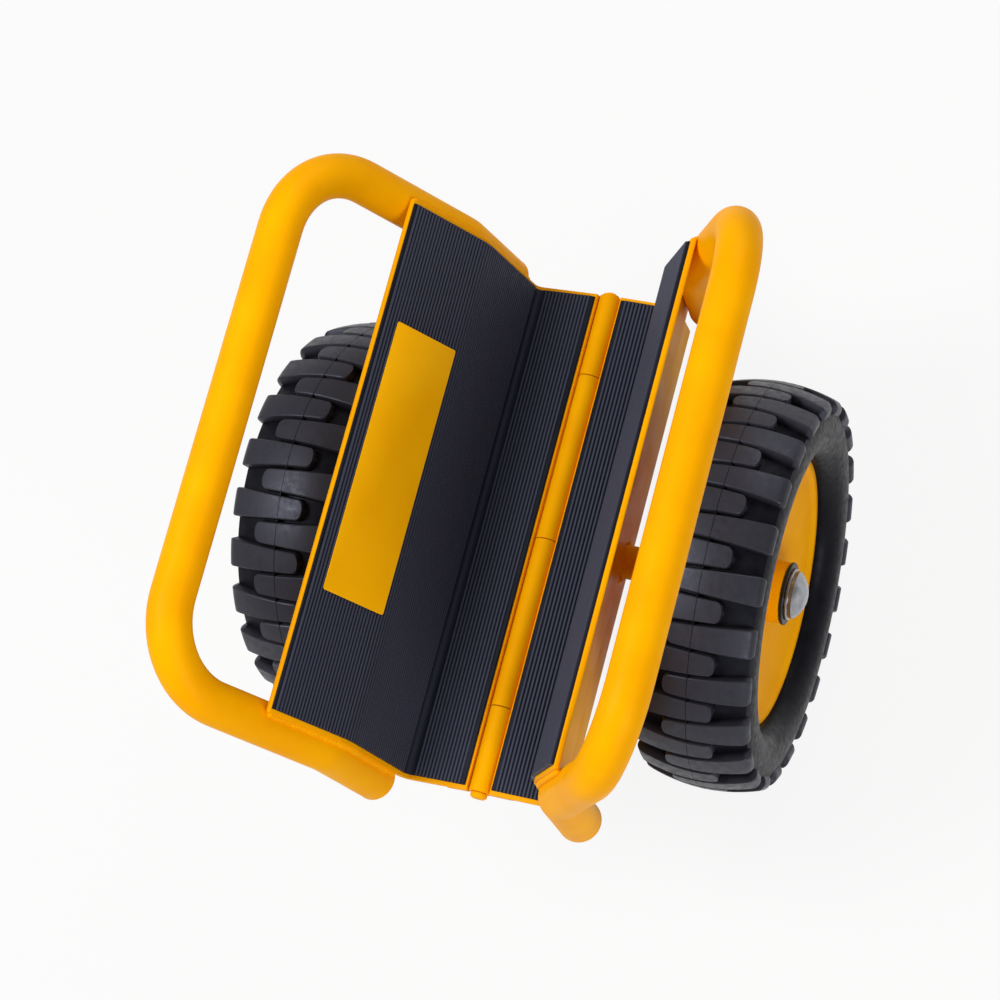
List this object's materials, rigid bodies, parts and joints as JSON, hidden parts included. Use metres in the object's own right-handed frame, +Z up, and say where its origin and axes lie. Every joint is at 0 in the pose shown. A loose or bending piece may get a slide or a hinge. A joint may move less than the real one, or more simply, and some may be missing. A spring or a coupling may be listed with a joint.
{
  "type": "drywall cart",
  "caption": "Self-clamping panel dolly: rib-padded folded jaws on a centre hinge, each with a bent tube handle and a cambered lug-tyred wheel.",
  "frame": {"origin": "on the floor under the middle of the hinge, with the jaws open", "axes": "+X to the right wheel, +Y along the travel to the far end, +Z up"},
  "size_m": [0.406, 0.4246, 0.4186],
  "materials": {
    "yellow_paint": "gloss amber-yellow powder coat",
    "label_yellow": "plain satin yellow plate",
    "pad_rubber": "ribbed matt rubber",
    "tyre_rubber": "semi-matt lug tyre",
    "zinc_steel": "zinc plated",
    "black_steel": "black oxide",
    "spring_steel": "drawn spring wire",
    "nylon": "natural nylon"
  },
  "bodies": {
    "left_jaw": {"left_jaw_plate": "yellow_paint", "left_hinge_leaf": "yellow_paint", "left_floor_pad": "pad_rubber", "left_side_pad": "pad_rubber", "left_handle": "yellow_paint", "left_handle_plugs": "yellow_paint", "left_axle_rail": "yellow_paint", "left_axle": "yellow_paint", "left_inner_washer": "zinc_steel", "left_outer_washer": "black_steel", "left_axle_cap": "zinc_steel", "left_stop_blocks": "yellow_paint", "left_spring_anchors": "yellow_paint", "label_plate": "label_yellow", "hinge_pin": "yellow_paint", "pin_clip": "zinc_steel", "near_spring": "spring_steel", "far_spring": "spring_steel"},
    "right_jaw": {"right_jaw_plate": "yellow_paint", "right_hinge_leaf": "yellow_paint", "right_floor_pad": "pad_rubber", "right_side_pad": "pad_rubber", "right_handle": "yellow_paint", "right_handle_plugs": "yellow_paint", "right_axle_rail": "yellow_paint", "right_axle": "yellow_paint", "right_inner_washer": "zinc_steel", "right_outer_washer": "black_steel", "right_axle_cap": "zinc_steel", "right_stop_blocks": "yellow_paint", "right_spring_anchors": "yellow_paint"},
    "left_wheel": {"left_tyre": "tyre_rubber", "left_outer_rim": "yellow_paint", "left_inner_rim": "yellow_paint", "left_hub_tube": "yellow_paint", "left_hub_bushes": "nylon"},
    "right_wheel": {"right_tyre": "tyre_rubber", "right_outer_rim": "yellow_paint", "right_inner_rim": "yellow_paint", "right_hub_tube": "yellow_paint", "right_hub_bushes": "nylon"}
  },
  "joints": [
    {"name": "jaw_hinge", "type": "hinge", "parent": "left_jaw", "child": "right_jaw", "pos_m": [0, 0, 0.17785], "axis": [0, -1, 0], "range_deg": [0, 60], "stiffness_Nm_per_rad": 3, "springref_deg": -57.3, "deforming": ["near_spring", "far_spring"]},
    {"name": "left_wheel_spin", "type": "hinge", "parent": "left_jaw", "child": "left_wheel", "pos_m": [-0.14812, 0, 0.14984], "axis": [-0.9962, 0, -0.0872], "continuous": true},
    {"name": "right_wheel_spin", "type": "hinge", "parent": "right_jaw", "child": "right_wheel", "pos_m": [0.14812, 0, 0.14984], "axis": [0.9962, 0, -0.0872], "continuous": true}
  ]
}
